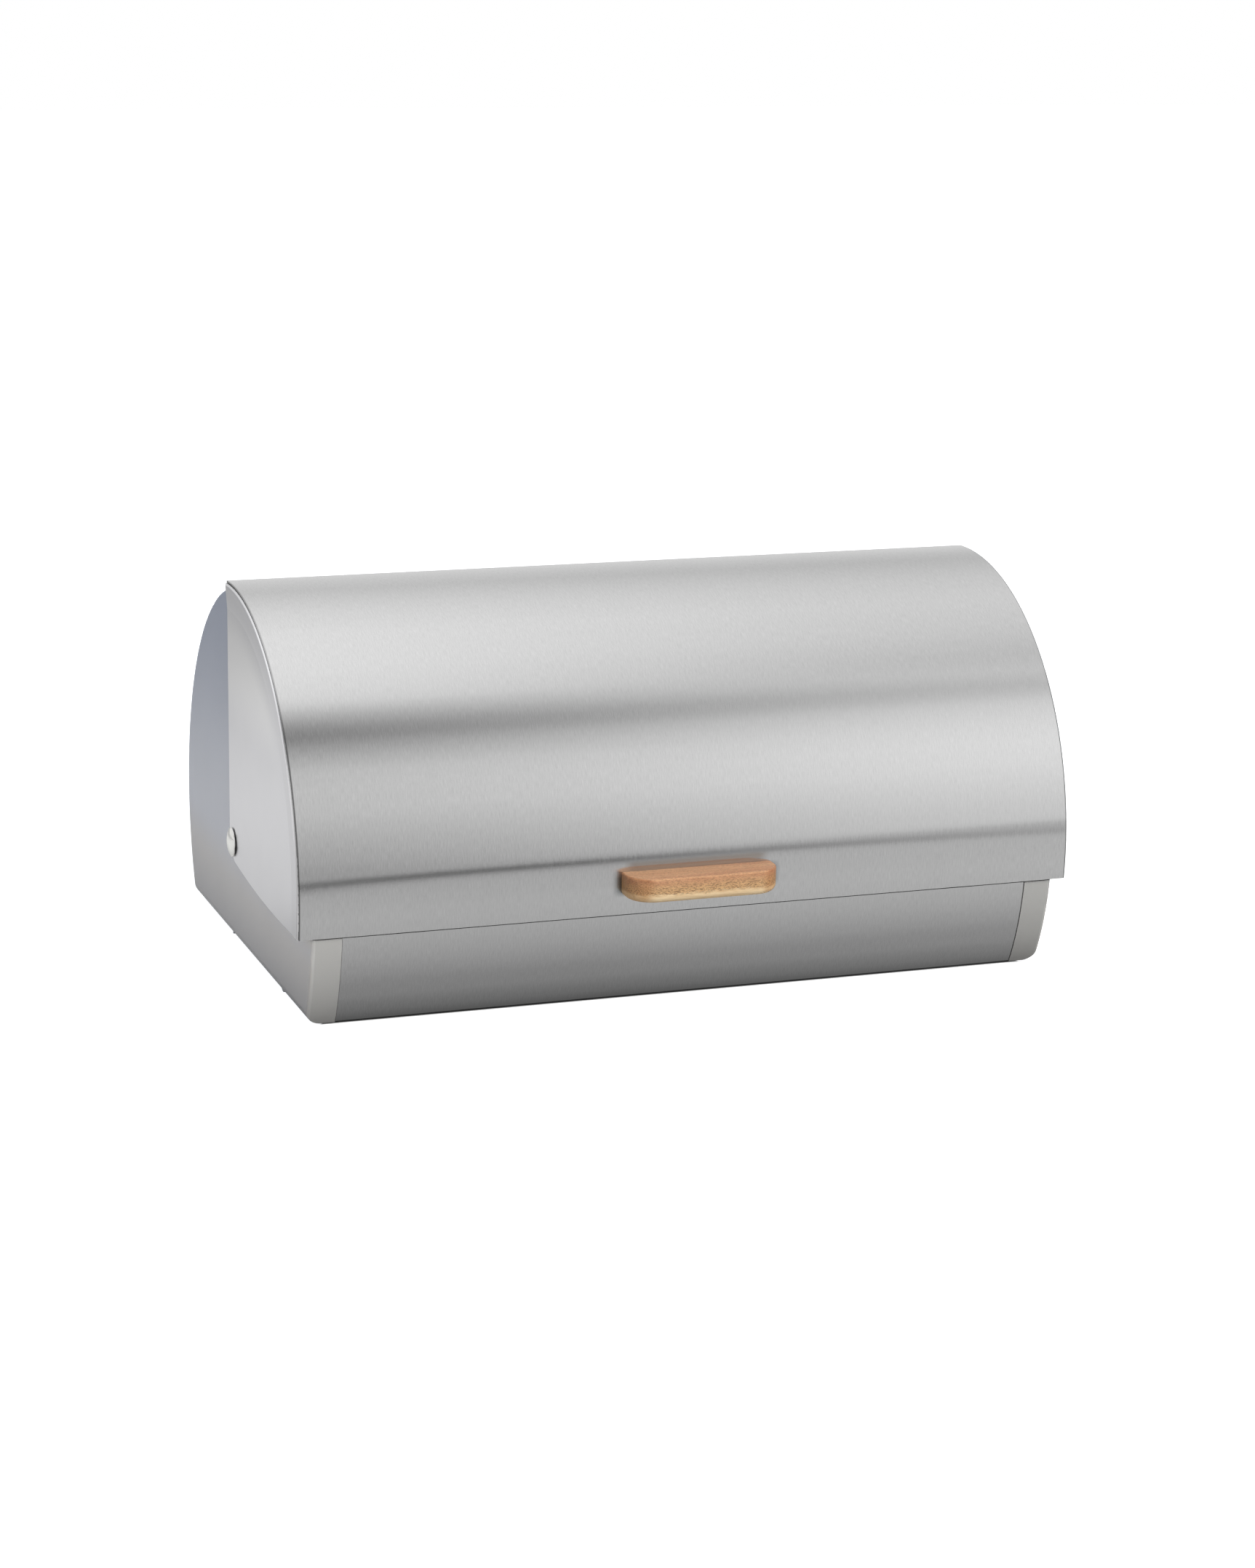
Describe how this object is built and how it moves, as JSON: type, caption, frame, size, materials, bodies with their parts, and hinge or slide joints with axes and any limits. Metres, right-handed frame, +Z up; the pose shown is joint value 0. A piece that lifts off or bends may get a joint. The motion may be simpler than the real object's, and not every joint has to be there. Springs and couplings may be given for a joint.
{
  "type": "roll-top bread box",
  "caption": "Roll-top bread box: brushed steel drum body between grey end caps, with a quarter-round steel lid on side pivots and a small wooden block handle.",
  "frame": {"origin": "on the table under the middle of the box", "axes": "+X along the box to its right as seen from the front, +Y to the back, +Z up; the front faces -Y"},
  "size_m": [0.3948, 0.2711, 0.1895],
  "materials": {
    "steel": "brushed across the box, satin",
    "cheek_steel": "fine satin",
    "rivet_steel": "polished",
    "screw_steel": "zinc plated",
    "cap_plastic": "silver-grey satin moulding",
    "nylon": "natural nylon",
    "rubber": "matt",
    "wood": "oiled"
  },
  "bodies": {
    "base": {"body_sheet": "steel", "left_end_cap": "cap_plastic", "right_end_cap": "cap_plastic", "left_pivot_rivet": "rivet_steel", "right_pivot_rivet": "rivet_steel", "left_spacer_bush": "nylon", "right_spacer_bush": "nylon", "left_backing_washer": "screw_steel", "right_backing_washer": "screw_steel", "floor_screws": "screw_steel", "rear_screws": "screw_steel", "front_left_foot": "rubber", "front_right_foot": "rubber", "rear_left_foot": "rubber", "rear_right_foot": "rubber", "left_closing_buffer": "rubber", "right_closing_buffer": "rubber", "left_opening_buffer": "rubber", "right_opening_buffer": "rubber"},
    "lid": {"lid_sheet": "steel", "left_cheek": "cheek_steel", "right_cheek": "cheek_steel", "handle": "wood", "handle_screws": "screw_steel", "handle_washers": "screw_steel"}
  },
  "joints": [
    {"name": "lid_hinge", "type": "hinge", "parent": "base", "child": "lid", "pos_m": [0, 0.01075, 0.06], "axis": [-1, 0, 0], "range_deg": [0, 91.2]}
  ]
}
